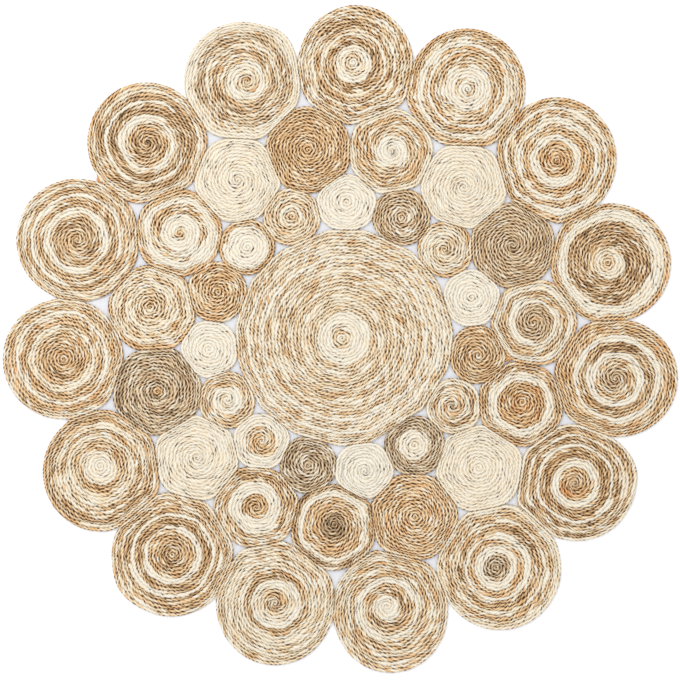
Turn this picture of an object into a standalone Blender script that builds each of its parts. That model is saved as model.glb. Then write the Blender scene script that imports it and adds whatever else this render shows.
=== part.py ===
"""A round jute rug made of 46 coiled discs: a large one in the middle and three rings of fifteen around it.

Each disc is one cord coiled flat, and the discs are sewn together where their rims touch. The gaps
between them are open. Metres, +Z up, with the middle of the rug's underside at the origin.
"""

import math
from collections import namedtuple

import bmesh
import bpy

MM = 0.001

# The cord and the coil
CORD = 7.4 * MM  # width of one turn
THICK = 8.0 * MM  # height of the cord, and so of the rug
RIDGE = 4 * CORD  # one ridge stands for four turns inside the outermost one
GROOVE = 1.1 * MM  # depth of a groove between ridges

# The seams between discs
GAP = 0.3 * MM  # between two rims at their seam
REACH = 9.5 * MM  # rims that lie this near are drawn together by the seam
DRAWN = math.radians(26)  # half the stretch of rim that a seam draws out
PRESSED = math.radians(60)  # half the stretch of rim that a seam may press flat
SPREAD = 5.0 * MM  # how far the turns spread into the gap between two seams
OPEN = math.radians(120)  # seams further apart than this have the rug's open edge between them
FADING = math.radians(25)  # from a seam, over which the spread fades out along the open edge

# Facets
RIM_FACET = 25 * MM  # longest facet along a rim
TOP_FACET = 29.5 * MM  # about the length of a facet along a ridge
FEWEST = 8  # facets in the smallest ring
SHARP = math.radians(35)

ROUGHNESS = 0.9

# The rim's section, from the floor to the top of the outermost turn
Edge = namedtuple("Edge", "inset height")
RIM = (
    Edge(inset=0.35 * CORD, height=0.0),
    Edge(inset=0.0, height=0.45 * THICK),
    Edge(inset=0.13 * CORD, height=0.83 * THICK),
    Edge(inset=0.5 * CORD, height=THICK),
)

# Mean colours of the yarn mixes, as sRGB
TONES = {
    "cream": (0.91, 0.87, 0.79),
    "straw": (0.90, 0.85, 0.76),
    "pale_mix": (0.86, 0.79, 0.68),
    "warm_mix": (0.81, 0.73, 0.61),
    "brown_mix": (0.78, 0.69, 0.57),
    "tan": (0.77, 0.65, 0.50),
    "taupe": (0.71, 0.63, 0.52),
}

# Each disc's place from the middle of the rug, its half width along X and along Y, in millimetres,
# and its yarn. The numbers in a ring run clockwise from the far side.
Disc = namedtuple("Disc", "name x y wide deep tone")
DISCS = (
    Disc("disc_centre", 10, 2, 240, 241, "warm_mix"),
    Disc("disc_inner_01", 14, 302, 63, 60, "cream"),
    Disc("disc_inner_02", 136, 271, 60, 60, "brown_mix"),
    Disc("disc_inner_03", 234, 199, 58, 58, "pale_mix"),
    Disc("disc_inner_04", 292, 91, 60, 60, "cream"),
    Disc("disc_inner_05", 305, -35, 59, 61, "tan"),
    Disc("disc_inner_06", 253, -150, 58, 58, "warm_mix"),
    Disc("disc_inner_07", 166, -238, 64, 63, "brown_mix"),
    Disc("disc_inner_08", 53, -292, 62, 61, "cream"),
    Disc("disc_inner_09", -72, -280, 60, 60, "taupe"),
    Disc("disc_inner_10", -175, -229, 60, 59, "pale_mix"),
    Disc("disc_inner_11", -252, -136, 59, 60, "pale_mix"),
    Disc("disc_inner_12", -290, -23, 60, 60, "cream"),
    Disc("disc_inner_13", -274, 104, 63, 63, "tan"),
    Disc("disc_inner_14", -207, 204, 58, 58, "cream"),
    Disc("disc_inner_15", -108, 271, 60, 60, "pale_mix"),
    Disc("disc_middle_01", -70, 419, 91, 93, "tan"),
    Disc("disc_middle_02", 112, 416, 90, 92, "warm_mix"),
    Disc("disc_middle_03", 275, 340, 92, 92, "straw"),
    Disc("disc_middle_04", 383, 207, 91, 91, "taupe"),
    Disc("disc_middle_05", 430, 36, 92, 93, "warm_mix"),
    Disc("disc_middle_06", 400, -145, 92, 91, "warm_mix"),
    Disc("disc_middle_07", 309, -287, 94, 94, "straw"),
    Disc("disc_middle_08", 163, -395, 94, 94, "tan"),
    Disc("disc_middle_09", -15, -417, 92, 93, "brown_mix"),
    Disc("disc_middle_10", -186, -373, 90, 88, "warm_mix"),
    Disc("disc_middle_11", -320, -265, 91, 91, "straw"),
    Disc("disc_middle_12", -406, -115, 96, 95, "taupe"),
    Disc("disc_middle_13", -417, 67, 94, 93, "warm_mix"),
    Disc("disc_middle_14", -359, 235, 92, 93, "pale_mix"),
    Disc("disc_middle_15", -228, 354, 92, 92, "straw"),
    Disc("disc_outer_01", 35, 610, 128, 132, "warm_mix"),
    Disc("disc_outer_02", 281, 558, 131, 132, "warm_mix"),
    Disc("disc_outer_03", 482, 399, 132, 138, "warm_mix"),
    Disc("disc_outer_04", 603, 169, 132, 132, "brown_mix"),
    Disc("disc_outer_05", 615, -87, 135, 131, "brown_mix"),
    Disc("disc_outer_06", 526, -321, 129, 128, "brown_mix"),
    Disc("disc_outer_07", 355, -509, 136, 138, "brown_mix"),
    Disc("disc_outer_08", 112, -608, 127, 134, "warm_mix"),
    Disc("disc_outer_09", -145, -589, 131, 136, "warm_mix"),
    Disc("disc_outer_10", -375, -481, 133, 136, "brown_mix"),
    Disc("disc_outer_11", -532, -295, 129, 133, "warm_mix"),
    Disc("disc_outer_12", -618, -45, 132, 133, "warm_mix"),
    Disc("disc_outer_13", -585, 221, 135, 135, "warm_mix"),
    Disc("disc_outer_14", -431, 437, 131, 133, "brown_mix"),
    Disc("disc_outer_15", -219, 574, 128, 131, "warm_mix"),
)

# Where a disc's last turn lies loose: the bearing of the stretch's middle and half its width, in
# degrees, and how far it stands out there, in millimetres
Loose = namedtuple("Loose", "name bearing half out")
LOOSE = (
    Loose("disc_outer_06", 15, 42, 7),
    Loose("disc_outer_06", 200, 26, 8),
    Loose("disc_outer_08", 112, 24, 6),
    Loose("disc_outer_10", 215, 32, 5),
    Loose("disc_outer_15", 46, 34, 11),
)

# A seam on a disc's rim: its bearing from the disc's middle and how far out the rim reaches there
Seam = namedtuple("Seam", "bearing reach")
# A point of a ring round a disc
Point = namedtuple("Point", "bearing radius height")

FULL_TURN = 2 * math.pi


def clear_scene():
    for obj in list(bpy.data.objects):
        bpy.data.objects.remove(obj, do_unlink=True)


def turned(a, b):
    """The angle from bearing b to bearing a, between minus and plus half a turn."""
    return (a - b + math.pi) % FULL_TURN - math.pi


def swell(away, half, out):
    """A smooth rise to a distance of out in its middle, which fades to nothing at half away from it."""
    if abs(away) > half:
        return 0
    return out * math.cos(away / half * math.pi / 2) ** 2


def free_rim(disc, bearing):
    """The rim's distance from the disc's middle without its seams: an oval, let out where it is loose."""
    across = math.cos(bearing) / (disc.wide * MM)
    along = math.sin(bearing) / (disc.deep * MM)
    radius = 1 / math.hypot(across, along)
    for loose in LOOSE:
        if loose.name == disc.name:
            away = turned(bearing, math.radians(loose.bearing))
            radius += swell(away, math.radians(loose.half), loose.out * MM)
    return radius


def seams_of(disc):
    """The disc's seams with its neighbours, which share the way between them in proportion to their size."""
    seams = []
    for other in DISCS:
        way = complex(other.x - disc.x, other.y - disc.y) * MM
        if other is disc:
            continue
        bearing = math.atan2(way.imag, way.real)
        own = free_rim(disc, bearing)
        its = free_rim(other, bearing + math.pi)
        if abs(way) < own + its + REACH:
            share = own / (own + its)
            seams.append(Seam(bearing % FULL_TURN, abs(way) * share - GAP / 2))
    return sorted(seams)


def spread(seams, bearing):
    """How far the turns spread outward at a bearing: all the way round but for the open edge."""
    for seam, following in zip(seams, seams[1:] + seams[:1]):
        span = (following.bearing - seam.bearing) % FULL_TURN
        past = (bearing - seam.bearing) % FULL_TURN
        if past <= span and span > OPEN:
            return swell(min(past, span - past), FADING, SPREAD)
    return SPREAD


def outline(disc, seams, bearing):
    """The rim's distance from the disc's middle, spread into the gaps and drawn or pressed at each seam."""
    radius = free_rim(disc, bearing) + spread(seams, bearing)
    for seam in seams:
        short = max(0, seam.reach - free_rim(disc, seam.bearing) - SPREAD)
        radius += swell(turned(bearing, seam.bearing), DRAWN, short)
    for seam in seams:
        away = turned(bearing, seam.bearing)
        if abs(away) < PRESSED:
            radius = min(radius, seam.reach / math.cos(away))
    return radius


def rim_bearings(disc, seams):
    """Bearings of the rim's points: one at each seam, and even steps between seams."""
    size = (disc.wide + disc.deep) / 2 * MM
    bearings = []
    for seam, following in zip(seams, seams[1:] + seams[:1]):
        span = (following.bearing - seam.bearing) % FULL_TURN
        steps = math.ceil(span * size / RIM_FACET)
        bearings += [seam.bearing + span * step / steps for step in range(steps)]
    return bearings


def even_bearings(radius):
    steps = max(FEWEST, round(FULL_TURN * radius / TOP_FACET))
    return [FULL_TURN * step / steps for step in range(steps)]


def rings_of(disc, seams):
    """The disc's rings of points, from the edge of its underside up over the rim and in to the middle."""
    rim = rim_bearings(disc, seams)
    rings = [[Point(b, outline(disc, seams, b) - edge.inset, edge.height) for b in rim] for edge in RIM]
    inside = (disc.wide + disc.deep) / 2 * MM - CORD
    levels = 2 * round(inside / RIDGE)
    for level in range(levels, 0, -1):
        share = level / levels
        height = THICK if level % 2 else THICK - GROOVE
        ring = []
        for bearing in even_bearings(share * inside):
            radius = share * (outline(disc, seams, bearing) - CORD)
            ring.append(Point(bearing, radius, height))
        rings.append(ring)
    return rings


def add_ring(bm, ring):
    """The ring's vertices, each with its bearing, starting from the one nearest to bearing 0."""
    points = sorted(ring, key=lambda point: point.bearing % FULL_TURN)
    placed = []
    for point in points:
        x = point.radius * math.cos(point.bearing)
        y = point.radius * math.sin(point.bearing)
        placed.append((point.bearing % FULL_TURN, bm.verts.new((x, y, point.height))))
    first_bearing, first = placed[0]
    return placed + [(first_bearing + FULL_TURN, first)]


def bridge(bm, outer, inner):
    """Triangles between two rings that may have different numbers of points."""
    i = j = 0
    while i < len(outer) - 1 or j < len(inner) - 1:
        outer_left = i < len(outer) - 1
        inner_left = j < len(inner) - 1
        if outer_left and (not inner_left or outer[i + 1][0] <= inner[j + 1][0]):
            bm.faces.new((outer[i][1], outer[i + 1][1], inner[j][1]))
            i += 1
        else:
            bm.faces.new((outer[i][1], inner[j + 1][1], inner[j][1]))
            j += 1


def disc_mesh(disc, seams):
    """The disc as one closed mesh: a flat underside, a rounded rim and a ridged top."""
    bm = bmesh.new()
    rings = [add_ring(bm, ring) for ring in rings_of(disc, seams)]
    for outer, inner in zip(rings, rings[1:]):
        bridge(bm, outer, inner)
    middle = bm.verts.new((0, 0, THICK))
    for (_, vertex), (_, following) in zip(rings[-1], rings[-1][1:]):
        bm.faces.new((vertex, following, middle))
    bm.faces.new([vertex for _, vertex in reversed(rings[0][:-1])])
    bmesh.ops.recalc_face_normals(bm, faces=bm.faces)
    mesh = bpy.data.meshes.new(disc.name)
    bm.to_mesh(mesh)
    bm.free()
    mesh.shade_smooth()
    mesh.set_sharp_from_angle(angle=SHARP)
    return mesh


def linear(channel):
    """An sRGB channel as the linear value that a shader takes."""
    if channel <= 0.04045:
        return channel / 12.92
    return ((channel + 0.055) / 1.055) ** 2.4


def jute(disc):
    material = bpy.data.materials.new("jute_" + disc.name)
    material.use_nodes = True
    shader = material.node_tree.nodes["Principled BSDF"]
    shader.inputs["Base Color"].default_value = (*map(linear, TONES[disc.tone]), 1)
    shader.inputs["Roughness"].default_value = ROUGHNESS
    shader.inputs["Metallic"].default_value = 0.0
    return material


def middle_of(seams):
    """The middle of the box round all rims, in the frame of the table of discs."""
    xs, ys = [], []
    for disc in DISCS:
        for bearing in rim_bearings(disc, seams[disc.name]):
            radius = outline(disc, seams[disc.name], bearing)
            xs.append(disc.x * MM + radius * math.cos(bearing))
            ys.append(disc.y * MM + radius * math.sin(bearing))
    return (min(xs) + max(xs)) / 2, (min(ys) + max(ys)) / 2


def build_rug():
    seams = {disc.name: seams_of(disc) for disc in DISCS}
    middle_x, middle_y = middle_of(seams)
    rug = bpy.data.objects.new("rug", None)
    bpy.context.scene.collection.objects.link(rug)
    for disc in DISCS:
        obj = bpy.data.objects.new(disc.name, disc_mesh(disc, seams[disc.name]))
        obj.data.materials.append(jute(disc))
        obj.parent = rug
        obj.location = (disc.x * MM - middle_x, disc.y * MM - middle_y, 0)
        bpy.context.scene.collection.objects.link(obj)


clear_scene()
build_rug()
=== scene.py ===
import math
from collections import namedtuple
from itertools import combinations

import bpy
import numpy as np
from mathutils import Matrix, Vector


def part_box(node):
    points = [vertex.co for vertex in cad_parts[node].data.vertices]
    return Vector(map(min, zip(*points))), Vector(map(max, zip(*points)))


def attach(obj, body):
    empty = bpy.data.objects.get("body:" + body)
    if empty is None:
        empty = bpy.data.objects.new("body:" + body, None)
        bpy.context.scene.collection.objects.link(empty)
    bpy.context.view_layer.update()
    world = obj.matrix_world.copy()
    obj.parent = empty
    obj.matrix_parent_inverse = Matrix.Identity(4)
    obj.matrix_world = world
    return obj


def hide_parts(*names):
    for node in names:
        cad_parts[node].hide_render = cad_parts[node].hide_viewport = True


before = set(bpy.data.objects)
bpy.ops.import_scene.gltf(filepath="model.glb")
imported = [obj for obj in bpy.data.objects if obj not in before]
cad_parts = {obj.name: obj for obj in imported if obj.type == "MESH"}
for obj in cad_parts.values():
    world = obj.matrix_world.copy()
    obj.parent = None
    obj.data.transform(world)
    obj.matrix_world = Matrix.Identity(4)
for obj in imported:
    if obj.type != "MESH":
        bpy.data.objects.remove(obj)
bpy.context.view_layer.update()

MM = 0.001
TURN = 2 * math.pi
SEED = 7

# The cord: strands twisted together, laid in a spiral
CORD = 7.4 * MM  # width of a turn
THICK = 8.0 * MM  # height of the cord
BODY = 0.45 * THICK  # height at which a disc is widest
LAY = 33 * MM  # length in which a strand goes once round the cord
STRANDS = 3
PHASE = 1 / 6  # of the strands, which puts every third row of points between two of them
GROOVE = 1.2 * MM  # depth between two strands
GROOVE_POWER = 3  # how narrow that groove is
TWIST_SPREAD = 0.45  # how much tighter or looser than LAY the cord is twisted
TWIST_LENGTH = 18 * MM
HEAVE = 0.35 * MM  # how far the cord rises and dips
HEAVE_LENGTH = 15 * MM
LEAST_HEIGHT = 0.6  # of the cord where it is narrowest, as a share of its full height
FULL_WIDTH = 0.9  # share of its full width from which the cord has its full height

# The groove between two turns: how much deeper than the cord's own round it is, and within what
# shares of that from one row of points to the next, with the share that the palest yarn has of it
SINK = 1.4 * MM
SINK_SPREAD = (-0.2, 2.2)
SINK_PALE = 0.5

# The spiral: how far a turn's edge wavers, as a share of its width, and over what length, slowly and
# quickly, and within how many turns of the eye and of the rim it wavers less
Waver = namedtuple("Waver", "share length")
WAVERS = (Waver(0.20, 14 * MM), Waver(0.20, 6 * MM))
WAVER_EYE = 2
WAVER_RIM = 1.5
WAVER_STEPS = 9000
SWAY = 0.16  # how far neighbouring turns sway together, as a share of their width
SWAY_WAVES = 9  # such waves, summed
SWAY_MOST = 7  # most such waves in a turn
SWAY_DRIFT = 0.13  # how far a wave's number in a turn is from a whole one
SWAY_EYE = (1, 10)  # turns from the eye over which the sway starts
SWAY_RIM = 4  # turns over which it ends at the rim
ROUNDER = 2.5  # how quickly the turns get rounder inward of the rim
STEP_SPREAD = 0.16  # share of a turn over which the outer turns step out past the cord's end
STEP_TURNS = 3.0  # number of outer turns that do
FIRST_ANGLE = 0.5 * math.pi  # of the spiral, where the cord starts beside the eye
LAST_GAP = 0.02  # radians before the end of the spiral's last turn, where the cord ends
STEPS_A_TURN = 260  # at which the cord's length is summed
MORE_STEPS = 100  # and so many more in all

# The mesh: rows of points along the cord, and columns of points round it, which are counted in ninths
# of the way round from its top and keep to its strands' slant
PACE = LAY / STRANDS / 3  # between two rows
FINE = 0.45  # most radians between the rows near the eye
FINE_ROOM = 0.3  # least share of PACE between the last of those and the first even row
SECTIONS = 9
TOP = (-2, -1, 0, 1)
RIM = (2, 3, 4)
SLANTED = 45 * MM  # over which the columns start and stop slanting
UNDER_ARC = 12 * MM  # between the points of a ring of the underside
UNDER_LEAST = 6  # such points
UNDER_LIFT = 1.0 * MM  # depth of the valleys between turns on the underside
UNDER_SIDE = math.radians(100)  # how far round the cord such a valley lies
UNDER_EYE = 0.4  # of a turn, where the rings of the underside leave off
SAME_HEIGHT = 0.05 * MM
SAME_BEARING = 1e-4
RIM_STEPS = 720  # for a disc's area

# The baking map: the top fills it, the rim is a sleeve round that, and the underside sits in a corner
MAP_RADIUS = 0.494
MAP_SLEEVE = 2.2 * MM
UNDER_SPOT = 0.078
UNDER_RADIUS = 0.074
UNDER_MARK = 1000.0  # added to the places of the underside until the map is laid out

# Yarn mixes: three tones, from 0 dark brown to 1 cream, of which every dash has one, how far the dyeing
# wanders along the cord, how much each dash differs, how grey the yarn is, and how much of it is rusty
Mix = namedtuple("Mix", "first second third wander dash grey rust")
MIXES = {
    "bleached": Mix(0.97, 0.95, 0.93, 0.04, 0.03, 0.45, 0.0),
    "straw": Mix(0.93, 0.91, 0.88, 0.05, 0.04, 0.30, 0.0),
    "white": Mix(0.97, 0.95, 0.91, 0.05, 0.04, 0.35, 0.0),
    "cream": Mix(0.95, 0.89, 0.82, 0.08, 0.08, 0.15, 0.1),
    "sand": Mix(0.84, 0.78, 0.70, 0.10, 0.10, 0.10, 0.2),
    "light": Mix(0.93, 0.81, 0.69, 0.16, 0.20, 0.15, 0.3),
    "mix": Mix(0.88, 0.73, 0.58, 0.18, 0.24, 0.15, 0.3),
    "gold": Mix(0.76, 0.67, 0.57, 0.14, 0.18, 0.00, 0.6),
    "tan": Mix(0.67, 0.60, 0.53, 0.10, 0.18, 0.10, 0.0),
    "brown": Mix(0.74, 0.59, 0.43, 0.14, 0.22, 0.25, 0.3),
    "umber": Mix(0.68, 0.50, 0.32, 0.12, 0.22, 0.35, 0.0),
    "bark": Mix(0.60, 0.44, 0.28, 0.12, 0.20, 0.25, 0.0),
    "soot": Mix(0.52, 0.36, 0.22, 0.12, 0.20, 0.80, 0.0),
    "russet": Mix(0.68, 0.58, 0.47, 0.12, 0.20, 0.00, 1.5),
    "ash": Mix(0.67, 0.56, 0.43, 0.12, 0.20, 0.95, 0.0),
    "taupe": Mix(0.68, 0.60, 0.50, 0.10, 0.16, 0.65, 0.0),
    "grey": Mix(0.78, 0.66, 0.52, 0.14, 0.20, 0.65, 0.0),
}
TONES = 3  # of a mix
WANDER_LENGTH = 16 * MM
WANDER_SHARED = 0.60  # share of the wandering that all three tones do together

# Each disc: which way its strands slant (1 where they lean outward going clockwise), how far its coil's
# eye is from the middle of its box in millimetres, and its yarn from the eye out, each mix with the turn
# where it ends
Coil = namedtuple("Coil", "slant eye_x eye_y yarn")
COILS = {
    "centre": Coil(
        1, -5, -1,
        "cream 1.6, sand 2.6, cream 3.2, white 8, sand 10.4, light 11, cream 12.4, sand 15, "
        "cream 15.8, light 17, mix 19, light 19.6, cream 20.2, light 21, cream 22, mix 22.9, "
        "light 24, white 24.9, light 26.6, cream 27.2, light 28.2, white 28.9, light",
    ),
    "inner_01": Coil(1, 0, 0, "bleached"),
    "inner_02": Coil(-1, 0, 0, "light 1.6, grey 5.8, taupe"),
    "inner_03": Coil(-1, 0, 0, "umber 0.9, gold 1.8, light 3.8, cream 7.2, gold"),
    "inner_04": Coil(-1, 0, 0, "bleached"),
    "inner_05": Coil(-1, 0, 0, "brown 1, tan 3, brown 4.2, tan"),
    "inner_06": Coil(
        -1, 0, 0,
        "soot 0.8, light 1.2, mix 2, gold 3, light 4, mix 4.6, cream 5.2, umber 6.2, mix 7, cream",
    ),
    "inner_07": Coil(-1, 0, 0, "cream 2, white 4.5, grey 5.2, ash"),
    "inner_08": Coil(-1, 0, 0, "bleached"),
    "inner_09": Coil(1, 0, 0, "ash"),
    "inner_10": Coil(-1, 0, 0, "mix 1.4, gold 4, light 4.8, white"),
    "inner_11": Coil(-1, 0, 0, "white 1, cream 2, white 4.3, light 5.4, mix 7, sand"),
    "inner_12": Coil(1, 0, 0, "bleached"),
    "inner_13": Coil(1, 0, 0, "gold"),
    "inner_14": Coil(-1, 0, 0, "bleached 6.9, tan"),
    "inner_15": Coil(1, 0, 0, "mix 0.9, sand 2, cream 3.4, sand"),
    "middle_01": Coil(-1, 0, 0, "tan"),
    "middle_02": Coil(1, 0, 0, "white 4.6, light 6, gold 7, mix 8.4, gold 11, cream"),
    "middle_03": Coil(-1, 0, 0, "straw"),
    "middle_04": Coil(-1, 0, 0, "taupe"),
    "middle_05": Coil(
        1, 0, 0,
        "umber 1, tan 1.6, taupe 5.7, white 7.2, mix 9, brown 10, cream 11, white 12, gold",
    ),
    "middle_06": Coil(1, 2, 6, "russet 6.4, gold 7.2, white 9.2, cream 10, brown"),
    "middle_07": Coil(1, 0, 0, "straw"),
    "middle_08": Coil(-1, 0, 0, "gold"),
    "middle_09": Coil(
        1, 3, 7,
        "soot 4, tan 5.4, brown 6.2, gold 7, mix 7.6, gold 8.9, white 10.6, light 11.2, umber",
    ),
    "middle_10": Coil(-1, 0, 0, "tan 3.7, white 8, brown 9.6, mix"),
    "middle_11": Coil(-1, 0, 0, "straw"),
    "middle_12": Coil(-1, 0, 0, "tan 1.5, ash 4, taupe 6, ash 9, taupe 10.5, ash"),
    "middle_13": Coil(
        -1, -4, 1,
        "bark 0.9, gold 1.9, sand 5.6, cream 7.9, mix 9, sand 10, cream 12, gold",
    ),
    "middle_14": Coil(1, 0, 0, "gold 1.1, cream 2.2, white 5.8, mix 8.5, white 11, light 11.8, gold"),
    "middle_15": Coil(1, 0, 0, "straw"),
    "outer_01": Coil(
        -1, -6, 6,
        "white 1.5, sand 2.3, cream 4, white 5.7, umber 6.7, brown 8.8, cream 9.9, brown 12.1, "
        "cream 12.9, brown 14, light 16, brown 16.8, light",
    ),
    "outer_02": Coil(
        1, 4, -5,
        "white 1.5, taupe 2, white 3, sand 3.5, white 7, mix 10, gold 11, white 11.8, gold 12.6, "
        "white 13.3, grey 14, white 14.7, mix 15.3, cream 15.8, gold",
    ),
    "outer_03": Coil(
        1, 0, 0,
        "bark 0.7, russet 3.8, tan 5.4, white 7.8, gold 10, mix 11, white 12.2, light 13, "
        "brown 14, mix 14.6, white 15.8, mix 16.6, gold",
    ),
    "outer_04": Coil(
        1, -7, -1,
        "gold 0.8, sand 2, cream 4.7, sand 5.2, umber 12.4, cream 13.2, white 15.9, light 16.5, "
        "gold",
    ),
    "outer_05": Coil(
        1, 0, 0,
        "taupe 3.6, mix 6.1, gold 6.4, white 8.5, umber 10.2, brown 11.4, white 13.2, gold",
    ),
    "outer_06": Coil(
        -1, -6, -2,
        "soot 1, brown 3, russet 5, white 6.9, light 7.9, bark 10.1, brown 10.8, white 11.9, "
        "umber 13.2, brown 13.9, cream 15, brown 16, umber 16.9, cream",
    ),
    "outer_07": Coil(
        1, -8, -1,
        "ash 3.4, taupe 4, white 6.6, gold 8.6, white 10, mix 10.8, umber 12, gold 13, cream 14, "
        "mix 15, gold 16, light 17.4, cream",
    ),
    "outer_08": Coil(
        -1, -8, 12,
        "white 3.7, mix 4.6, umber 5.8, gold 7.2, sand 7.8, white 9.5, mix 11, gold 12, "
        "light 14, gold 15, light 16.2, mix 17, light",
    ),
    "outer_09": Coil(
        -1, 0, 0,
        "grey 1, taupe 2.4, gold 3, sand 4, cream 6, white 7.6, umber 8.8, gold 9.8, cream 11.4, "
        "sand 12, cream 13, light 14.8, cream 15.8, sand 16.6, light",
    ),
    "outer_10": Coil(
        -1, 0, 0,
        "gold 0.6, bark 2, umber 3, brown 4.8, gold 7.1, white 8.8, bark 10.4, brown 11.6, "
        "white 12.8, bark 14, light 15.2, brown 16.6, light",
    ),
    "outer_11": Coil(
        -1, -2, 10,
        "white 3, cream 5.4, brown 6.4, gold 7.8, sand 8.8, cream 10.3, mix 11, brown 12, "
        "light 13, cream 13.7, brown 15.8, taupe 16.5, cream 17, gold",
    ),
    "outer_12": Coil(
        -1, 0, 0,
        "bark 0.9, umber 1.6, gold 2.8, tan 4.4, umber 5.6, tan 6.8, gold 8.2, cream 9.9, "
        "brown 10.8, gold 12, mix 13, white 14, gold 16.4, mix 17.2, light",
    ),
    "outer_13": Coil(
        -1, 0, 0,
        "sand 1.2, umber 1.8, gold 3.9, brown 5, umber 7, gold 8, white 9.4, cream 9.9, "
        "brown 11.2, gold 12.4, light 13, white 13.8, brown 15.4, light 16.2, cream 17, mix",
    ),
    "outer_14": Coil(
        1, 0, 0,
        "soot 0.9, tan 2.6, umber 4.2, tan 5, gold 6.2, light 7, white 8.5, light 9, umber 11.4, "
        "brown 11.7, white 12.5, umber 14, brown 15.2, cream 16, light 17, gold",
    ),
    "outer_15": Coil(
        -1, 11, -2,
        "bark 0.8, brown 1.2, sand 2.4, light 3.9, white 5.9, sand 7.2, mix 8.2, umber 9.4, "
        "light 10.4, cream 11.2, mix 12, grey 14.2, light 15, cream 15.6, straw",
    ),
}

# The thread that sews two discs together, in stitches across their seam and a little past its ends
STITCH_STEP = 7.0 * MM
STITCH_LATE = 0.3  # how much sooner or later than that one comes, as a share of it
STITCH_GAP = 2.0 * MM  # most that the two rims may be apart
STITCH_REACH = (2.0 * MM, 4.5 * MM)  # least and most that a stitch goes into each rim
STITCH_HEIGHT = (5.0 * MM, 6.8 * MM)
STITCH_THICK = (0.7 * MM, 1.1 * MM)  # from its middle to its side
STITCH_DIP = 2.0 * MM  # how much lower its ends are
STITCH_LEAN = 0.6  # most that it leans to either side
STITCH_SIDES = 5
STITCH_RINGS = 6
STITCH_POWER = 4  # how bluntly it ends
STITCH_TIP = 0.1  # square of its thickness at its ends, as a share
STITCH_TONE = (0.05, 0.5)
STITCH_HUE = 0.2  # how grey it is
STITCH_DASH = 0.2  # how much its strands differ
SEED_SPREAD = 1000  # by which a tone makes the seed of a thread's fibres
SEAM_STEPS = 900  # round a rim, to find where another is near

# Yarn that is sewn into a gap and closes it: its middle and its size in millimetres, which way it lies,
# in degrees, its tone, and how rusty it is
Patch = namedtuple("Patch", "x y long wide bearing tone rust")
PATCHES = (
    Patch(374, -43, 24, 13, 40, 0.50, 0.4),
    Patch(455, -71, 34, 8, -36, 0.50, 0.9),
    Patch(-534, 354, 20, 12, -50, 0.55, 0.9),
)
PATCH_STRAND = 4.2 * MM  # between its strands
PATCH_HEIGHT = 4.6 * MM
PATCH_THICK = 2.4 * MM  # from a strand's middle to its side
PATCH_LONG = (0.85, 1.1)  # within what shares of its length a strand's own is
PATCH_RISE = 0.4 * MM  # most that a strand lies higher or lower
PATCH_DIP = PATCH_HEIGHT / 4
PATCH_TONE = 0.1  # most that a strand's tone differs

# Colour ramps of the yarn, as sRGB: warm, grey and rusty
Shade = namedtuple("Shade", "tone warm grey rust")
SHADES = (
    Shade(0.00, (0.36, 0.26, 0.15), (0.33, 0.27, 0.19), (0.38, 0.24, 0.13)),
    Shade(0.20, (0.61, 0.46, 0.29), (0.54, 0.46, 0.35), (0.65, 0.41, 0.24)),
    Shade(0.40, (0.79, 0.63, 0.44), (0.72, 0.62, 0.49), (0.81, 0.57, 0.36)),
    Shade(0.60, (0.87, 0.72, 0.53), (0.82, 0.74, 0.61), (0.88, 0.67, 0.46)),
    Shade(0.80, (0.89, 0.81, 0.67), (0.87, 0.82, 0.73), (0.89, 0.78, 0.62)),
    Shade(1.00, (0.88, 0.86, 0.80), (0.88, 0.86, 0.82), (0.88, 0.86, 0.80)),
)
BLOTCH_LENGTH = 30 * MM  # of rusty lengths of yarn
BLOTCH_START = 0.1  # how rare they are, 0 common, 1 never

TONE_PALE = (0.76, 0.90)  # between which yarn counts more and more as pale
FIBRES = 7.0  # across a strand
FIBRE_LENGTH = 5 * MM
FIBRE_SPREAD = 0.4  # of tone between fibres
FIBRE_ROUGH = (0.75, 0.2)  # roughness where a fibre is darkest, and how much more where it is palest
PAINTED_CREST_LIGHT = 0.20  # how much paler a strand is painted along its middle, as a painted highlight, than at its edges, as painted shade
STRAND_SHIFT = 3.7  # between the fibres' noise on two strands
DISC_SHIFT = 17.3  # and on two discs
DASH_CHANCE = 0.5  # where in the noise the dashes' tones are drawn
PAINTED_SHADE_CHANCE = 8.5  # and the depths of the painted shade in the gaps
# Painted shade in the gaps, which darkens the yarn where shadow falls between strands and between turns: its
# share between two dashes, between two turns, and where both meet, and where each starts and is full, 0
# being the middle of a dash or a turn and 1 its edge
PAINTED_SHADE_SHARES = (0.14, 0.30, 0.90)
PAINTED_SHADE_DASH = (0.05, 0.65)
PAINTED_SHADE_SIDE = (0.25, 0.85)
PAINTED_SHADE = (0.36, 0.22, 0.06)  # colour of white yarn in full painted shade, as sRGB
# How deep the painted shade is, from the faintest gap to the darkest, on darker yarn and on pale yarn
Gap = namedtuple("Gap", "share dark pale")
PAINTED_SHADE_GAPS = (Gap(0.0, 0.20, 0.03), Gap(0.5, 0.90, 0.14), Gap(0.88, 1.0, 0.26), Gap(0.97, 1.0, 0.80))
BUMP = 0.3 * MM
BUMP_STRENGTH = 0.6
BUMP_FIBRES = 0.6  # how high the fibres are beside the strand's own round
BUMP_POWER = 4  # how quickly that falls off at the strand's edges
SPECULAR = 0.12
SHEEN = 0.04
SHEEN_ROUGH = 0.5

# The floor, with painted shade in the rug's gaps, which makes it darker there than past the rug's outer
# discs
FLOOR_REACH = 12.0  # metres from the middle to a side
FLOOR_TOP = -0.2 * MM
# Painted shade: the floor's colour in the rug's gaps
FLOOR_PAINTED_SHADE = (0.83, 0.835, 0.855)
FLOOR_FAR = (0.94, 0.94, 0.95)
FLOOR_SHADE_FADE = (0.54, 0.60)  # metres from the middle, between which the painted shade fades into the plain floor
FLOOR_CLOUD = 1.5  # scale of its uneven gloss
FLOOR_ROUGH = (0.8, 0.1)
FLOOR_SPECULAR = 0.1

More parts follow.
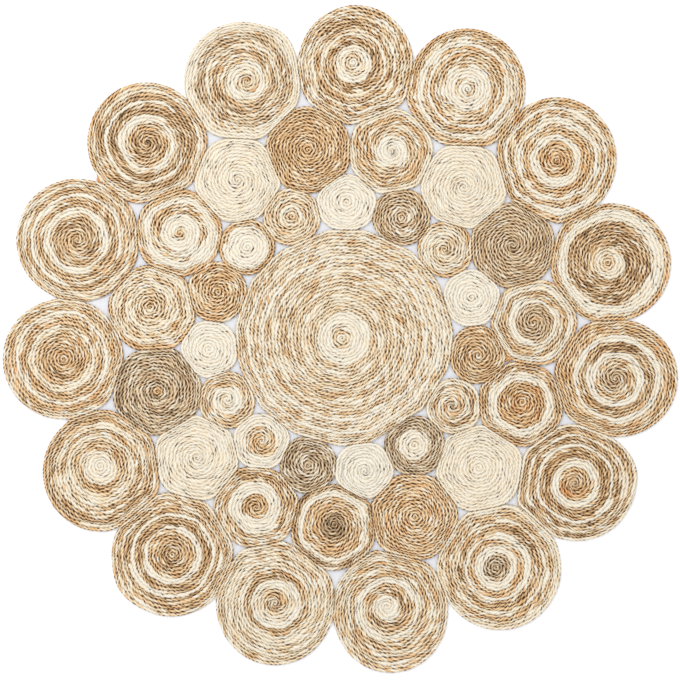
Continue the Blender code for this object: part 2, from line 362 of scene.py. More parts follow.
# The studio
AMBIENT = 1.4  # strength of its dome
HORIZON = 0.45  # how bright the studio is at its horizon, as a share of overhead
KEY = 55  # power of its lamp
KEY_SIZE = 2.2
KEY_PLACE = (-1.6, 1.8, 3.4)
VIEW_SIZE = 1512.3 * MM  # width of the picture at the rug
VIEW_CENTRE = (-0.48 * MM, -2.47 * MM)
VIEW_HEIGHT = 6.0
VIEW_DEPTH = 100  # how far the camera sees
SENSOR = 36.0


def linear(channel):
    return channel / 12.92 if channel <= 0.04045 else ((channel + 0.055) / 1.055) ** 2.4


def colour(srgb):
    return (*map(linear, srgb), 1.0)


def level(value):
    return (value, value, value, 1.0)


def smooth_noise(rng, at, length, ways=1):
    """Smooth noise of about -1 to 1 at places along a line, as many times as ways says."""
    count = int(at.max() / length) + 3  # with some to spare past the end
    knots = rng.uniform(-1, 1, (ways, count))
    place = at / length
    first = np.floor(place).astype(int)
    share = place - first
    share = share * share * (3 - 2 * share)
    return knots[:, first] * (1 - share) + knots[:, first + 1] * share


def smoothstep(low, high, x):
    t = np.clip((x - low) / (high - low), 0, 1)
    return t * t * (3 - 2 * t)


def outward(bearing):
    """The direction at a bearing."""
    return np.stack([np.cos(bearing), np.sin(bearing)], -1)


class Rim:
    """The outline of a CAD disc as seen from above, as a smooth closed curve round the middle of its box."""

    def __init__(self, node):
        low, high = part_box(node)
        self.middle = np.array([(low.x + high.x) / 2, (low.y + high.y) / 2])
        places = np.array([v.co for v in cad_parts[node].data.vertices])
        widest = places[np.abs(places[:, 2] - BODY) < SAME_HEIGHT][:, :2] - self.middle
        bearings = np.arctan2(widest[:, 1], widest[:, 0]) % TURN
        order = np.argsort(bearings)
        bearings, radii = bearings[order], np.hypot(*widest.T)[order]
        kept = np.r_[True, np.diff(bearings) > SAME_BEARING]
        self.bearings, self.radii = bearings[kept], radii[kept]
        self.slopes = self.fit()

    def fit(self):
        """Slopes of the periodic cubic through the points."""
        gaps = np.diff(np.r_[self.bearings, self.bearings[0] + TURN])
        rises = np.diff(np.r_[self.radii, self.radii[0]]) / gaps
        before, rise_before = np.roll(gaps, 1), np.roll(rises, 1)
        return (rise_before * gaps + rises * before) / (gaps + before)

    def at(self, bearing):
        """Distance from the middle to the rim."""
        place = bearing % TURN
        first = (np.searchsorted(self.bearings, place, side="right") - 1) % len(self.bearings)
        after = (first + 1) % len(self.bearings)
        gap = (self.bearings[after] - self.bearings[first]) % TURN
        t = ((place - self.bearings[first]) % TURN) / gap
        return (
            self.radii[first] * (1 + 2 * t) * (1 - t) ** 2 + self.slopes[first] * gap * t * (1 - t) ** 2
            + self.radii[after] * t * t * (3 - 2 * t) + self.slopes[after] * gap * t * t * (t - 1)
        )

    def points(self, count):
        """Points of the outline, evenly spread by their bearings."""
        bearings = np.linspace(0, TURN, count, endpoint=False)
        return self.middle + self.at(bearings)[:, None] * outward(bearings)

    def area(self):
        bearings = np.linspace(0, TURN, RIM_STEPS, endpoint=False)
        return float((self.at(bearings) ** 2).sum() * math.pi / RIM_STEPS)


class Spiral:
    """One disc's cord: where it runs, and what yarn it is of, from the eye of the coil to its end."""

    def __init__(self, name, coil, seed):
        self.seed = seed
        self.rng = np.random.default_rng(seed)
        self.rim = Rim("disc_" + name)
        self.eye = np.array([coil.eye_x, coil.eye_y]) * MM
        self.way = self.rng.choice([-1, 1])  # clockwise or anticlockwise, going outward
        self.slant = -coil.slant * self.way  # 1 where a strand leans outward along the cord
        self.end_bearing = self.rng.uniform(0, TURN)
        self.size = self.rim.radii.mean()
        self.turns = self.size / CORD
        self.last = TURN * (self.turns + 1)  # angle of the spiral at the cord's end
        self.pitch = 1 / self.turns  # of the spiral, as a share of the way from the eye to the rim
        self.sway = np.column_stack([
            self.rng.uniform(1, SWAY_MOST, SWAY_WAVES).round() + self.rng.normal(0, SWAY_DRIFT, SWAY_WAVES),
            self.rng.uniform(0, TURN, SWAY_WAVES),
        ])
        self.run = np.linspace(0, 1, WAVER_STEPS) * self.turns ** 2 * CORD * math.pi
        self.waver = sum(waver.share * smooth_noise(self.rng, self.run, waver.length)[0] for waver in WAVERS)
        self.measure()
        self.dye(coil.yarn)

    def bearing(self, angle):
        return self.end_bearing - self.way * (self.last - angle)

    def edge(self, angle):
        """Share of the way to the rim of the cord's outer edge, at an angle of the spiral."""
        turn = np.maximum(angle, 0) / TURN
        inner = smoothstep(self.turns - STEP_TURNS, self.turns, turn)
        past = (turn - self.turns) % 1
        stepped = smoothstep(1 - STEP_SPREAD, 1, past) - past
        waver = np.interp(turn ** 2 * CORD * math.pi, self.run, self.waver)
        calm = smoothstep(0, WAVER_EYE, turn) * smoothstep(0, WAVER_RIM, self.turns - turn)
        swayed = sum(np.sin(waves * angle + start) for waves, start in self.sway) / math.sqrt(SWAY_WAVES)
        swayed = swayed * smoothstep(*SWAY_EYE, turn) * smoothstep(0, SWAY_RIM, self.turns - turn)
        return np.minimum(1, self.pitch * (turn + inner * stepped + calm * waver + SWAY * swayed))

    def reach(self, bearing, share):
        """Distance from the middle to the rim, as the turns that share of the way out from it follow it."""
        return self.size + (self.rim.at(bearing) - self.size) * np.maximum(share, 0) ** ROUNDER

    def spot(self, bearing, share, middle=(0, 0)):
        """Points at shares of the way from the eye to the rim, for a disc whose middle lies there."""
        from_eye = share * self.reach(bearing, share)
        x = middle[0] + self.eye[0] * (1 - share) + from_eye * np.cos(bearing)
        y = middle[1] + self.eye[1] * (1 - share) + from_eye * np.sin(bearing)
        return np.stack([x, y], -1)

    def place(self, angle, side):
        """Points of the cord in the frame, at angles of the spiral and side 0 to 1 across it."""
        inner, outer = self.edge(angle - TURN), self.edge(angle)
        return self.spot(self.bearing(angle), inner + (outer - inner) * side, self.rim.middle)

    def width(self, angle):
        """Width of the cord, as a share of its full width."""
        return (self.edge(angle) - self.edge(angle - TURN)) / self.pitch

    def measure(self):
        """Lengths along the cord, which are longer where it is twisted more tightly, and its rise there."""
        count = int(self.turns * STEPS_A_TURN) + MORE_STEPS
        self.angles = np.linspace(FIRST_ANGLE, self.last - LAST_GAP, count)
        steps = np.linalg.norm(np.diff(self.place(self.angles, 0.5), axis=0), axis=1)
        twist = smooth_noise(self.rng, np.cumsum(steps), TWIST_LENGTH)[0]
        self.lengths = np.r_[0, np.cumsum(steps * (1 + TWIST_SPREAD * twist))]
        self.length = self.lengths[-1]
        self.heave = smooth_noise(self.rng, self.lengths, HEAVE_LENGTH)[0] * HEAVE

    def angle_at(self, length):
        return np.interp(length, self.lengths, self.angles)

    def length_at(self, angle):
        return np.interp(angle, self.angles, self.lengths)

    def dye(self, yarn):
        """The three tones along the cord, its hue (1 grey, -1 rusty), and how much its dashes differ."""
        bands = [band.split() for band in yarn.split(", ")]
        ends = [float(band[1]) for band in bands if len(band) > 1]
        mixes = np.array([MIXES[band[0]] for band in bands])
        mix = Mix(*mixes[np.searchsorted(ends, self.angles / TURN - 0.5)].T)
        *wander, shared = smooth_noise(self.rng, self.lengths, WANDER_LENGTH, TONES + 1)
        self.tones = [
            np.clip(tone + mix.wander * (WANDER_SHARED * shared + (1 - WANDER_SHARED) * own), 0, 1)
            for tone, own in zip(mix[:TONES], wander)
        ]
        blotch = smooth_noise(self.rng, self.lengths, BLOTCH_LENGTH)[0]
        rusty = smoothstep(BLOTCH_START, 1, blotch) * mix.rust
        self.hue = mix.grey * (1 - rusty) - rusty
        self.dash = mix.dash

    def height(self, angle, round_cord):
        """Height of the cord's surface, round_cord being the angle from its top."""
        length = self.length_at(angle)
        full = LEAST_HEIGHT + (1 - LEAST_HEIGHT) * smoothstep(0, FULL_WIDTH, self.width(angle))
        crest = THICK * full + np.interp(length, self.lengths, self.heave)
        return crest / 2 * (1 + np.cos(round_cord))

    def groove(self, length, round_cord):
        """How far the surface lies below the strands' own, in the grooves between them."""
        away = self.strand_phase(length, round_cord)
        away = away - np.round(away)
        return GROOVE * np.abs(2 * away) ** GROOVE_POWER

    def strand_phase(self, length, round_cord):
        return STRANDS * (round_cord / TURN - self.slant * length / LAY) + PHASE


# A line of points: their numbers in the mesh, the spiral's angle there, which they are in rising order
# of, and for the material their lengths along the cord and angles round it
Line = namedtuple("Line", "numbers keys lengths rounds")


def stretch(line, low, high):
    return Line(*(column[low:high] for column in line))


class Piece:
    """Collects a mesh: points, faces as triangles, and for each corner its place on the cord."""

    def __init__(self):
        self.points, self.spots = [], []
        self.count = 0
        self.faces, self.corners = [], []

    def add_points(self, points, spots):
        """Adds points with their places on the baking map, and returns their numbers."""
        self.points.append(points)
        self.spots.append(spots)
        numbers = np.arange(self.count, self.count + len(points))
        self.count += len(points)
        return numbers

    def add_faces(self, *corners):
        """Adds triangles, of which each corner is given as a line and the places on it, but no flat ones."""
        faces, lengths, rounds = (
            np.stack([getattr(line, field)[at] for line, at in corners], -1)
            for field in ("numbers", "lengths", "rounds")
        )
        good = (faces[:, 0] != faces[:, 1]) & (faces[:, 1] != faces[:, 2]) & (faces[:, 2] != faces[:, 0])
        self.faces.append(faces[good])
        self.corners.append(np.stack([lengths, rounds], -1)[good])

    def add_fan(self, point, lines, row, length):
        """Adds triangles from a point to the lines' first or last points, at one length along the cord."""
        ends = [line.numbers[row] for line in lines]
        for a, b in zip(ends, ends[1:]):
            facing_up = [point, b, a] if row == 0 else [point, a, b]
            self.faces.append(np.array([facing_up]))
            self.corners.append(np.array([[[length, 0.0]] * 3]))


def zipped(piece, inner, outer):
    """Triangles between two lines of points, each in rising order of its keys."""
    step_in, step_out = inner.keys[1:], outer.keys[1:]
    i = np.arange(len(step_in))
    j = np.searchsorted(step_out, step_in, side="left")
    piece.add_faces((inner, i), (outer, j), (inner, i + 1))
    i = np.searchsorted(step_in, step_out, side="right")
    j = np.arange(len(step_out))
    piece.add_faces((inner, i), (outer, j), (outer, j + 1))


def strip(piece, inner, outer):
    """Triangles between two lines of the same number of points, one for one."""
    a, b = slice(None, -1), slice(1, None)
    piece.add_faces((inner, a), (outer, a), (outer, b))
    piece.add_faces((inner, a), (outer, b), (inner, b))


def row_lengths(spiral):
    """Lengths along the cord of its rows of points, closer together near the eye."""
    fine = [0.0]
    while True:
        reach = spiral.edge(spiral.angle_at(fine[-1])) * spiral.size
        if FINE * reach > PACE:
            break
        fine.append(fine[-1] + FINE * reach)
    first = math.ceil(fine[-1] / PACE + FINE_ROOM)
    return np.r_[fine, np.arange(first, int(spiral.length / PACE)) * PACE]


def column(spiral, piece, step, rows, sink=0.0, slanted=1.0):
    """The line of points at one angle round the cord, one for each row."""
    around = step * TURN / SECTIONS
    ends = np.clip(np.minimum(rows, rows[-1] - rows) / SLANTED, 0, 1)
    lengths = rows + spiral.slant * LAY / SECTIONS * step * ends * slanted
    angles = spiral.angle_at(lengths)
    flat = spiral.place(angles, (1 + math.sin(around)) / 2)
    sunk = spiral.groove(lengths, around)
    away = outward(spiral.bearing(angles))
    flat = flat - away * (sunk * math.sin(around))[:, None]
    height = spiral.height(angles, around) - sunk * math.cos(around)
    height = height - sink * np.minimum(1, spiral.width(angles))
    spots = flat - spiral.rim.middle + away * max(0, step - 1) * MAP_SLEEVE
    numbers = piece.add_points(np.column_stack([flat, height]), spots)
    return Line(numbers, angles, lengths, np.full(len(rows), around))


def closed(line):
    """A line that goes once round, with its first point again at its end."""
    return Line(
        np.r_[line.numbers, line.numbers[0]],
        np.r_[line.keys, line.keys[0] + TURN],
        np.r_[line.lengths, line.lengths[-1] + PACE],
        np.r_[line.rounds, line.rounds[0]],
    )


def under_ring(spiral, piece, start, turn, share, height, round_cord):
    """A ring of the underside, round the cord's turn that many in from the rim."""
    count = max(UNDER_LEAST, round(TURN * spiral.size * share / UNDER_ARC))
    keys = start + TURN * np.arange(count + 1) / count
    flat = spiral.spot(spiral.bearing(keys[:-1]), share)
    points = np.column_stack([flat + spiral.rim.middle, np.full(count, height)])
    numbers = piece.add_points(points, under_spots(flat))
    lengths = spiral.length_at(np.maximum(keys - TURN * turn, FIRST_ANGLE))
    return Line(np.r_[numbers, numbers[0]], keys, lengths, np.full(count + 1, round_cord))


def under_spots(flat):
    """Marks places of the underside for the baking map's corner."""
    return np.column_stack([flat[:, 0] + UNDER_MARK, flat[:, 1]])


def coil_mesh(name, coil, seed):
    """One disc's cord as one closed mesh: its top, its rim and its underside."""
    spiral = Spiral(name, coil, seed)
    piece = Piece()
    rows = row_lengths(spiral)
    edge = add_rim(spiral, piece, rows, *add_top(spiral, piece, rows))
    add_underside(spiral, piece, edge)
    return spiral, built(name, spiral, piece)


def add_top(spiral, piece, rows):
    """Adds the cord's top, turn by turn, and returns its outermost line and the row where the rim starts."""
    pale = smoothstep(*TONE_PALE, np.interp(rows, spiral.lengths, spiral.tones[1]))
    sunk = SINK * (1 + (SINK_PALE - 1) * pale) * spiral.rng.uniform(*SINK_SPREAD, len(rows))
    lines = [column(spiral, piece, step, rows, sunk if step == TOP[0] else 0) for step in TOP]
    groove, crest = lines[0], lines[-1]

    # The first turn closes on the eye
    middle = [*(spiral.rim.middle + spiral.eye), THICK * LEAST_HEIGHT]
    eye = piece.add_points(np.array([middle]), spiral.eye[None, :])[0]
    from_eye = groove.keys < TURN
    groove = groove._replace(numbers=np.where(from_eye, eye, groove.numbers))
    for inner, outer in zip([groove, *lines[1:]], lines[1:]):
        strip(piece, inner, outer)
    piece.add_fan(eye, lines[1:], 0, 0.0)

    # Each turn meets the next one's groove
    later = ~from_eye
    inward = groove.keys[later] - TURN
    over = Line(
        np.r_[eye, groove.numbers[later]],
        np.r_[0, inward],
        np.r_[0, spiral.length_at(inward)],
        np.full(later.sum() + 1, -TOP[0] * TURN / SECTIONS),
    )
    meet = int(np.searchsorted(crest.keys, crest.keys[-1] - TURN))
    zipped(piece, stretch(crest, 0, meet + 1), over)
    piece.add_fan(crest.numbers[meet], [groove, *lines[1:]], -1, crest.lengths[-1])
    return crest, meet


def add_rim(spiral, piece, rows, crest, meet):
    """Adds the outermost turn's side, and returns the line at its foot."""
    edge = closed(stretch(crest, meet, None))
    rows = rows[meet:]
    begun = np.clip((rows - rows[0]) / SLANTED, 0, 1)
    for step in RIM:
        line = closed(column(spiral, piece, step, rows, slanted=(1 + (step - 1) * begun) / step))
        strip(piece, edge, line)
        edge = line
    return edge


def add_underside(spiral, piece, edge):
    """Adds the underside ring by ring, from the rim's foot to the middle."""
    start = edge.keys[0]
    turn = 0
    while (turn + 1) * spiral.pitch < 1 - UNDER_EYE * spiral.pitch:
        share = 1 - (turn + 0.5) * spiral.pitch
        ring = under_ring(spiral, piece, start, turn, share, 0, math.pi)
        zipped(piece, edge, ring)
        share = 1 - (turn + 1) * spiral.pitch
        valley = under_ring(spiral, piece, start, turn, share, UNDER_LIFT, TURN - UNDER_SIDE)
        zipped(piece, ring, valley)
        turn += 1
        lengths = spiral.length_at(np.maximum(valley.keys - TURN * turn, FIRST_ANGLE))
        edge = valley._replace(lengths=lengths, rounds=np.full(len(lengths), UNDER_SIDE))
    centre = np.array([[*(spiral.rim.middle + spiral.eye), 0]])
    middle = piece.add_points(centre, under_spots(spiral.eye[None, :]))[0]
    count = len(edge.numbers)
    hub = Line(np.full(count, middle), edge.keys, np.zeros(count), np.full(count, math.pi))
    strip(piece, edge, hub)


def built(name, spiral, piece):
    """The mesh of a coil, with what the material reads at each corner, and the baking map."""
    points, spots = np.concatenate(piece.points), np.concatenate(piece.spots)
    faces, corners = np.concatenate(piece.faces), np.concatenate(piece.corners)
    if spiral.way < 0:
        faces, corners = faces[:, ::-1], corners[:, ::-1]
    lengths, rounds = corners[..., 0].ravel(), corners[..., 1].ravel()
    mesh = mesh_of("coil_" + name, points, faces)

    # The strands' turns along the cord, the share of the way round it, and the disc's seed
    seeds = np.full(len(lengths), float(spiral.seed))
    add_corner_values(mesh, "cord", spiral.slant * lengths / LAY, rounds / TURN, seeds)
    tones = (np.interp(lengths, spiral.lengths, tone) for tone in spiral.tones)
    add_corner_values(mesh, "tones", *tones)

    # The yarn's hue and how much its dashes differ; the third value isn't used
    hue, dash = (np.interp(lengths, spiral.lengths, values) for values in (spiral.hue, spiral.dash))
    add_corner_values(mesh, "dye", hue, dash, np.zeros(len(lengths)))
    mesh.uv_layers.new(name="OFBake")
    places = map_places(spots)[faces.ravel()]
    mesh.uv_layers["OFBake"].data.foreach_set("uv", places.astype(np.float32).ravel())
    return mesh


def mesh_of(name, points, faces):
    mesh = bpy.data.meshes.new(name)
    mesh.vertices.add(len(points))
    mesh.vertices.foreach_set("co", points.astype(np.float32).ravel())
    mesh.loops.add(len(faces) * 3)
    mesh.loops.foreach_set("vertex_index", faces.astype(np.int32).ravel())
    mesh.polygons.add(len(faces))
    mesh.polygons.foreach_set("loop_start", np.arange(0, len(faces) * 3, 3, dtype=np.int32))
    mesh.update(calc_edges=True)
    mesh.shade_smooth()
    return mesh


def add_corner_values(mesh, name, *values):
    """Adds three values for each corner, under one name."""
    attribute = mesh.attributes.new(name, "FLOAT_VECTOR", "CORNER")
    attribute.data.foreach_set("vector", np.column_stack(values).astype(np.float32).ravel())


def map_places(spots):
    """Places on the baking map, from 0 to 1 each way."""
    under = spots[:, 0] > UNDER_MARK / 2
    places = spots.copy()
    places[under, 0] -= UNDER_MARK
    widest = np.abs(places[~under]).max()
    places[~under] = 0.5 + places[~under] / widest * MAP_RADIUS
    places[under] = UNDER_SPOT + places[under] / widest * UNDER_RADIUS
    return places


def node(tree, kind, inputs=(), **settings):
    """Adds a shader node, joins or sets its inputs, by order or by name, and returns it."""
    made = tree.nodes.new("ShaderNode" + kind)
    for name, value in settings.items():
        setattr(made, name, value)
    for key, value in inputs.items() if isinstance(inputs, dict) else enumerate(inputs):
        if isinstance(value, bpy.types.NodeSocket):
            tree.links.new(value, made.inputs[key])
        else:
            made.inputs[key].default_value = value
    return made


def calc(tree, operation, *inputs):
    return node(tree, "Math", inputs, operation=operation).outputs[0]


def vector(tree, *values):
    return node(tree, "CombineXYZ", values).outputs[0]


def parts(tree, value):
    return node(tree, "SeparateXYZ", [value]).outputs


def eased(tree, value, low, high, **settings):
    """0 up to low, 1 from high, and rising between them."""
    return node(tree, "MapRange", [value, low, high, 0, 1], **settings).outputs[0]


def mixed(tree, share, first, second, blend="MIX"):
    made = node(tree, "Mix", {0: share, 6: first, 7: second}, data_type="RGBA", blend_type=blend)
    return made.outputs[2]


def ramp(tree, place, stops):
    made = node(tree, "ValToRGB", [place])
    while len(made.color_ramp.elements) < len(stops):
        made.color_ramp.elements.new(1)
    for element, (position, tone) in zip(made.color_ramp.elements, stops):
        element.position = position
        element.color = tone
    return made.outputs[0]


def jute_material(name):
    """Twisted yarn, by what each corner says: its place on the cord, the yarn's tones there, and its dye."""
    material = bpy.data.materials.new(name)
    material.use_nodes = True
    tree = material.node_tree
    cord, tones, dye = (
        node(tree, "Attribute", attribute_name=values).outputs["Vector"]
        for values in ("cord", "tones", "dye")
    )
    along, around, seed = parts(tree, cord)
    hue, dash, _ = parts(tree, dye)

    # Which strand a place is on, and how far across it, from -0.5 to 0.5
    phase = calc(tree, "MULTIPLY_ADD", calc(tree, "SUBTRACT", around, along), STRANDS, PHASE)
    strand = calc(tree, "FLOOR", calc(tree, "ADD", phase, 0.5))
    across = calc(tree, "SUBTRACT", phase, strand)
    edge = calc(tree, "MULTIPLY", calc(tree, "ABSOLUTE", across), 2)

    # Each dash has one of the three tones by chance, and differs a little from it
    chance = node(tree, "TexWhiteNoise", [vector(tree, strand, seed, DASH_CHANCE)])
    which = calc(tree, "FLOOR", calc(tree, "MULTIPLY", chance.outputs["Value"], TONES))
    chosen = vector(tree, *(calc(tree, "COMPARE", which, number, 0.5) for number in range(TONES)))
    tone = node(tree, "VectorMath", [chosen, tones], operation="DOT_PRODUCT").outputs["Value"]
    differs = calc(tree, "SUBTRACT", node(tree, "SeparateColor", [chance.outputs["Color"]]).outputs[1], 0.5)
    tone = calc(tree, "MULTIPLY_ADD", differs, calc(tree, "MULTIPLY", dash, 2), tone)

    fibres = fibre_noise(tree, along, across, strand, seed)
    # The yarn's colour, with a painted highlight along each strand's middle and painted shade at its edges
    dyed_with_painted_crest = yarn_colour_with_painted_crest(tree, tone, fibres, edge, hue)
    # Painted shade: the yarn's colour is darkened in the gaps between strands and between turns, where
    # shadow falls
    dark = painted_shade_depth(tree, phase, seed, tone, edge, around)
    with_painted_shade = mixed(tree, dark, dyed_with_painted_crest, mixed(tree, 1, dyed_with_painted_crest, colour(PAINTED_SHADE), "MULTIPLY"))

    round_strand = calc(tree, "POWER", edge, BUMP_POWER)
    height = calc(tree, "SUBTRACT", calc(tree, "MULTIPLY", fibres, BUMP_FIBRES), round_strand)
    bump = node(tree, "Bump", {"Strength": BUMP_STRENGTH, "Distance": BUMP, "Height": height})
    least, more = FIBRE_ROUGH
    shader = tree.nodes["Principled BSDF"]
    tree.links.new(with_painted_shade, shader.inputs["Base Color"])
    tree.links.new(calc(tree, "MULTIPLY_ADD", fibres, more, least), shader.inputs["Roughness"])
    tree.links.new(bump.outputs[0], shader.inputs["Normal"])
    shader.inputs["Specular IOR Level"].default_value = SPECULAR
    shader.inputs["Sheen Weight"].default_value = SHEEN
    shader.inputs["Sheen Roughness"].default_value = SHEEN_ROUGH
    return material


def fibre_noise(tree, along, across, strand, seed):
    """Fibres, which run along each strand."""
    place = vector(
        tree,
        calc(tree, "MULTIPLY", along, LAY / FIBRE_LENGTH),
        calc(tree, "MULTIPLY", across, FIBRES),
        calc(tree, "MULTIPLY_ADD", strand, STRAND_SHIFT, calc(tree, "MULTIPLY", seed, DISC_SHIFT)),
    )
    noise = node(tree, "TexNoise", {"Vector": place, "Scale": 1.0, "Detail": 3.0, "Roughness": 0.65})
    return noise.outputs[0]


def yarn_colour_with_painted_crest(tree, tone, fibres, edge, hue):
    """The yarn's colour, from warm to grey or to rusty as its hue says, before the painted shade in its
    gaps, with a painted highlight along each strand's middle and painted shade at its edges.
    """
    lean = calc(tree, "MULTIPLY_ADD", calc(tree, "SUBTRACT", fibres, 0.5), FIBRE_SPREAD, tone)
    # Painted highlight along each strand's middle and painted shade at its edges
    lean = calc(tree, "MULTIPLY_ADD", calc(tree, "SUBTRACT", 0.5, edge), PAINTED_CREST_LIGHT, lean)
    warm, grey, rusty = (
        ramp(tree, lean, [(shade.tone, colour(getattr(shade, kind))) for shade in SHADES])
        for kind in ("warm", "grey", "rust")
    )
    return mixed(tree, calc(tree, "MULTIPLY", hue, -1), mixed(tree, hue, warm, grey), rusty)


def painted_shade_depth(tree, phase, seed, tone, edge, around):
    """Painted shade: how dark the yarn is painted between two dashes and between two turns, where shadow
    falls, which is hardly so where it is pale.
    """
    gap = vector(tree, calc(tree, "FLOOR", phase), seed, PAINTED_SHADE_CHANCE)
    chance = node(tree, "TexWhiteNoise", [gap]).outputs["Value"]
    deep = ramp(tree, chance, [(depth.share, level(depth.dark)) for depth in PAINTED_SHADE_GAPS])
    faint = ramp(tree, chance, [(depth.share, level(depth.pale)) for depth in PAINTED_SHADE_GAPS])
    depth = mixed(tree, eased(tree, tone, *TONE_PALE), deep, faint)
    side = calc(tree, "ABSOLUTE", calc(tree, "SINE", calc(tree, "MULTIPLY", around, TURN)))
    beside = eased(tree, edge, *PAINTED_SHADE_DASH, interpolation_type="SMOOTHSTEP")
    below = eased(tree, side, *PAINTED_SHADE_SIDE, interpolation_type="SMOOTHSTEP")
    of_dash, of_turn, of_both = PAINTED_SHADE_SHARES
    shade = calc(tree, "MULTIPLY", below, of_turn)
    shade = calc(tree, "MULTIPLY_ADD", calc(tree, "MULTIPLY", beside, below), of_both, shade)
    shade = calc(tree, "MULTIPLY_ADD", beside, of_dash, shade)
    return calc(tree, "MULTIPLY", shade, depth)


def floor_material():
    material = bpy.data.materials.new("floor")
    material.use_nodes = True
    tree = material.node_tree
    cloud = node(tree, "TexNoise", {"Scale": FLOOR_CLOUD, "Detail": 2.0}).outputs[0]
    place = node(tree, "TexCoord").outputs["Object"]
    away = node(tree, "VectorMath", [place], operation="LENGTH").outputs["Value"]
    near, far = FLOOR_SHADE_FADE
    least, more = FLOOR_ROUGH
    shader = tree.nodes["Principled BSDF"]
    # Painted shade: the floor is darker in the rug's gaps and fades to the plain floor further out
    tone = ramp(tree, away, [(near, colour(FLOOR_PAINTED_SHADE)), (far, colour(FLOOR_FAR))])
    tree.links.new(tone, shader.inputs["Base Color"])
    tree.links.new(calc(tree, "MULTIPLY_ADD", cloud, more, least), shader.inputs["Roughness"])
    shader.inputs["Specular IOR Level"].default_value = FLOOR_SPECULAR
    return material


def add_object(name, data):
    made = bpy.data.objects.new(name, data)
    bpy.context.scene.collection.objects.link(made)
    return made


def add_coils():
    """Adds every disc's coil in its node's place, and returns the discs' rims."""
    rims = []
    for number, (name, coil) in enumerate(COILS.items()):
        spiral, mesh = coil_mesh(name, coil, SEED + number)
        mesh.materials.append(JUTE)
        piece = add_object("coil_" + name, mesh)
        disc = "disc_" + name
        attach(piece, "root")
        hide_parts(disc)
        spiral.rim.area()
        rims.append(spiral.rim)
    return rims


def seam_places(rim, other):
    """Points along a rim, with the nearest point of another disc's rim and how far that is."""
    here, there = rim.points(SEAM_STEPS), other.points(SEAM_STEPS)
    apart = np.linalg.norm(here[:, None] - there[None], axis=2)
    return here, there[apart.argmin(1)], apart.min(1)


def tube(start, end, thick, dip):
    """A short tube of thread from one point to another, which dips at its ends."""
    along = np.linspace(0, 1, STITCH_RINGS)
    line = start + (end - start) * along[:, None]
    line[:, 2] -= dip * (2 * along - 1) ** 2
    across = np.cross(end - start, (0, 0, 1))
    across /= np.linalg.norm(across)
    thick = thick * np.sqrt(np.clip(1 - (2 * along - 1) ** STITCH_POWER, STITCH_TIP, 1))
    around = np.linspace(0, TURN, STITCH_SIDES, endpoint=False)
    ring = np.cos(around)[:, None] * across + np.sin(around)[:, None] * np.array([0, 0, 1])
    points = (line[:, None] + thick[:, None, None] * ring[None]).reshape(-1, 3)
    reach = np.repeat(along, STITCH_SIDES) * np.linalg.norm(end - start)
    return points, tube_faces(), reach


def tube_faces():
    """Triangles between the rings of a tube, and over its two ends."""
    faces = []
    for row in range(STITCH_RINGS - 1):
        for side in range(STITCH_SIDES):
            a = row * STITCH_SIDES + side
            b = row * STITCH_SIDES + (side + 1) % STITCH_SIDES
            c, d = b + STITCH_SIDES, a + STITCH_SIDES
            faces += [(a, b, c), (a, c, d)]
    last = (STITCH_RINGS - 1) * STITCH_SIDES
    for side in range(1, STITCH_SIDES - 1):
        faces += [(0, side + 1, side), (last, last + side, last + side + 1)]
    return np.array(faces)


class Sewing:
    """Collects tubes of thread as one mesh, with the tone and the hue of each."""

    def __init__(self):
        self.points, self.faces = [], []
        self.count = 0
        self.cord, self.tones, self.dye = [], [], []

    def add(self, made, tone, hue):
        """Adds what tube() made."""
        points, faces, reach = made
        corners = faces.size
        self.points.append(points)
        self.faces.append(faces + self.count)
        self.count += len(points)
        seeds = np.full(corners, tone * SEED_SPREAD)
        self.cord.append(np.stack([reach[faces.ravel()] / LAY, np.zeros(corners), seeds]))
        self.tones.append(np.full((3, corners), tone))
        self.dye.append(np.stack([np.full(corners, hue), np.full(corners, STITCH_DASH), np.zeros(corners)]))

    def mesh(self):
        mesh = mesh_of("sewing", np.concatenate(self.points), np.concatenate(self.faces))
        for name, values in (("cord", self.cord), ("tones", self.tones), ("dye", self.dye)):
            add_corner_values(mesh, name, *np.concatenate(values, axis=1))
        mesh.materials.append(JUTE)
        return mesh


def sew_seam(sewing, rng, rim, other):
    """Stitches across the seam between two discs, where they touch."""
    here, there, apart = seam_places(rim, other)
    toward = other.middle - rim.middle
    toward = toward / np.hypot(*toward)
    gone = STITCH_STEP
    for index in np.flatnonzero(apart < STITCH_GAP):
        gone += np.linalg.norm(here[index] - here[index - 1])
        if gone < STITCH_STEP:
            continue
        gone = rng.uniform(-STITCH_LATE, STITCH_LATE) * STITCH_STEP
        lean = np.array([-toward[1], toward[0]]) * rng.uniform(-STITCH_LEAN, STITCH_LEAN)
        reach = rng.uniform(*STITCH_REACH, 2)
        height = rng.uniform(*STITCH_HEIGHT)
        start = here[index] - (toward + lean) * reach[0]
        end = there[index] + (toward + lean) * reach[1]
        made = tube(np.r_[start, height], np.r_[end, height], rng.uniform(*STITCH_THICK), STITCH_DIP)
        sewing.add(made, rng.uniform(*STITCH_TONE), STITCH_HUE)


def sew_patch(sewing, rng, patch):
    """Strands of yarn side by side, the middle ones longest."""
    bearing = math.radians(patch.bearing)
    along = np.array([math.cos(bearing), math.sin(bearing)])
    across = np.array([-along[1], along[0]])
    strands = max(2, round(patch.wide * MM / PATCH_STRAND))
    for strand in range(strands):
        side = (strand + 0.5) / strands - 0.5
        middle = np.array([patch.x, patch.y]) * MM + across * side * patch.wide * MM
        half = along * patch.long * MM / 2 * (1 - abs(side)) * rng.uniform(*PATCH_LONG)
        height = PATCH_HEIGHT + rng.uniform(-PATCH_RISE, PATCH_RISE)
        made = tube(np.r_[middle - half, height], np.r_[middle + half, height], PATCH_THICK, PATCH_DIP)
        sewing.add(made, patch.tone + rng.uniform(-PATCH_TONE, PATCH_TONE), -patch.rust)


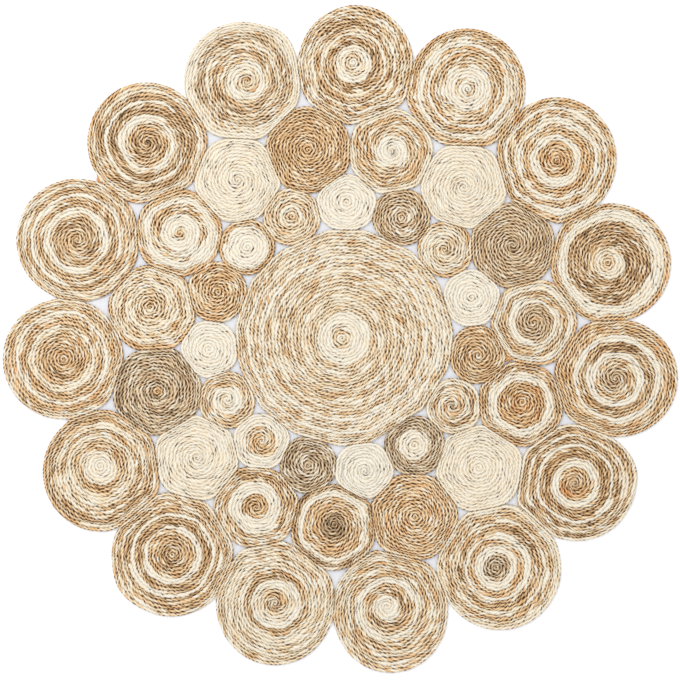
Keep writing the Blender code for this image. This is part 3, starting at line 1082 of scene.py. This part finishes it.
def add_sewing(rims):
    """Adds the thread of every seam and the patches of yarn, as one piece."""
    rng = np.random.default_rng(SEED)
    sewing = Sewing()
    for rim, other in combinations(rims, 2):
        if np.hypot(*(rim.middle - other.middle)) <= rim.radii.max() + other.radii.max() + STITCH_GAP:
            sew_seam(sewing, rng, rim, other)
    for patch in PATCHES:
        sew_patch(sewing, rng, patch)
    piece = add_object("sewing", sewing.mesh())
    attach(piece, "root")


def add_floor():
    mesh = bpy.data.meshes.new("floor")
    square = ((-1, -1), (1, -1), (1, 1), (-1, 1))
    corners = [(x * FLOOR_REACH, y * FLOOR_REACH, FLOOR_TOP) for x, y in square]
    mesh.from_pydata(corners, [], [(0, 1, 2, 3)])
    mesh.materials.append(floor_material())
    add_object("floor", mesh)


def add_light(name, place, size, energy):
    lamp = bpy.data.lights.new(name, "AREA")
    lamp.shape = "DISK"
    lamp.size = size
    lamp.energy = energy
    made = add_object(name, lamp)
    made.location = place
    made.rotation_euler = Vector(place).to_track_quat("Z", "Y").to_euler()


def add_lights():
    """A soft dome, paler overhead, and one broad lamp."""
    world = bpy.data.worlds.new("studio")
    world.use_nodes = True
    tree = world.node_tree
    upward = parts(tree, node(tree, "TexCoord").outputs["Generated"])["Z"]
    dome = ramp(tree, upward, [(0, level(HORIZON)), (1, level(1))])
    tree.links.new(dome, tree.nodes["Background"].inputs["Color"])
    tree.nodes["Background"].inputs["Strength"].default_value = AMBIENT
    bpy.context.scene.world = world
    add_light("key", KEY_PLACE, KEY_SIZE, KEY)
    bpy.context.scene.view_settings.view_transform = "Standard"


def add_camera():
    """A camera straight above, which sees the rug as large as the photograph does."""
    lens = bpy.data.cameras.new("camera")
    lens.sensor_width = SENSOR
    lens.lens = SENSOR * VIEW_HEIGHT / VIEW_SIZE
    lens.clip_end = VIEW_DEPTH
    camera = add_object("camera", lens)
    camera.location = (*VIEW_CENTRE, VIEW_HEIGHT)
    bpy.context.scene.camera = camera


JUTE = jute_material("jute_yarn")
add_sewing(add_coils())
add_floor()
add_lights()
add_camera()
